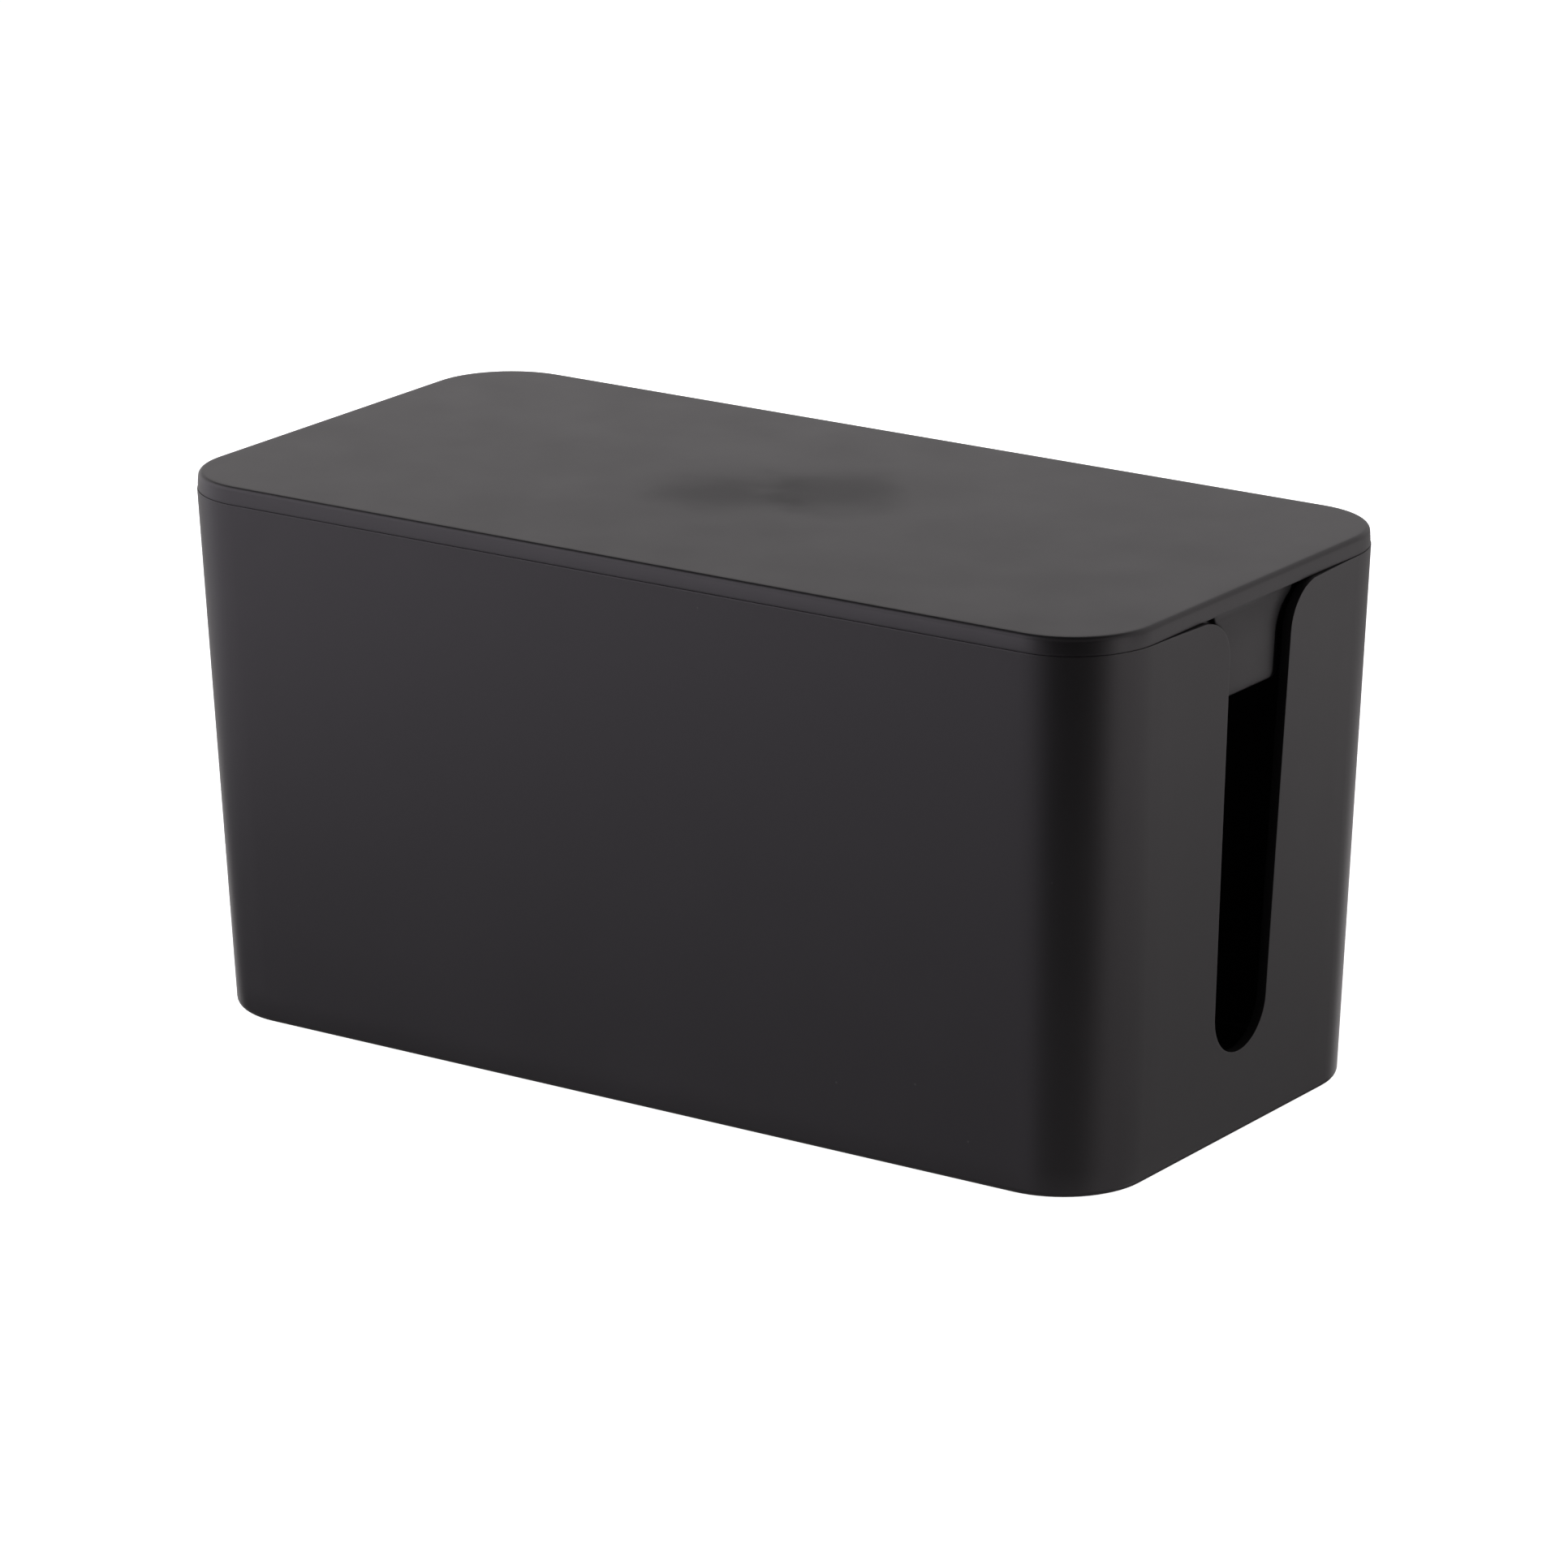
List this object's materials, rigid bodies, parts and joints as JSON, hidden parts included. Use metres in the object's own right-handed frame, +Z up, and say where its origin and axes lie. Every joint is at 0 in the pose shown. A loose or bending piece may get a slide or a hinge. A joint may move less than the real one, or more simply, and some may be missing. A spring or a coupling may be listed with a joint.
{
  "type": "cable tray",
  "caption": "Closed desk cable box: tapered rounded bucket with a flared cable slot in each end wall and a lift-off lid with end tabs.",
  "frame": {"origin": "on the desk under the centre of the box, level with the undersides of the feet", "axes": "+X along the box's length, +Y across it, +Z up; the cable slots face +X and -X"},
  "size_m": [0.237, 0.1156, 0.1195],
  "materials": {
    "box_plastic": "fine satin moulded texture, near black",
    "lid_plastic": "fine satin moulded texture, near black",
    "foot_rubber": "soft matt black rubber"
  },
  "bodies": {
    "box": {"box_body": "box_plastic", "foot_front_left": "foot_rubber", "foot_front_right": "foot_rubber", "foot_rear_left": "foot_rubber", "foot_rear_right": "foot_rubber"},
    "lid": {"lid": "lid_plastic"}
  },
  "joints": [
    {"name": "lid_lift", "type": "slide", "parent": "box", "child": "lid", "axis": [0, 0, 1], "range_m": [0, 0.06]}
  ]
}
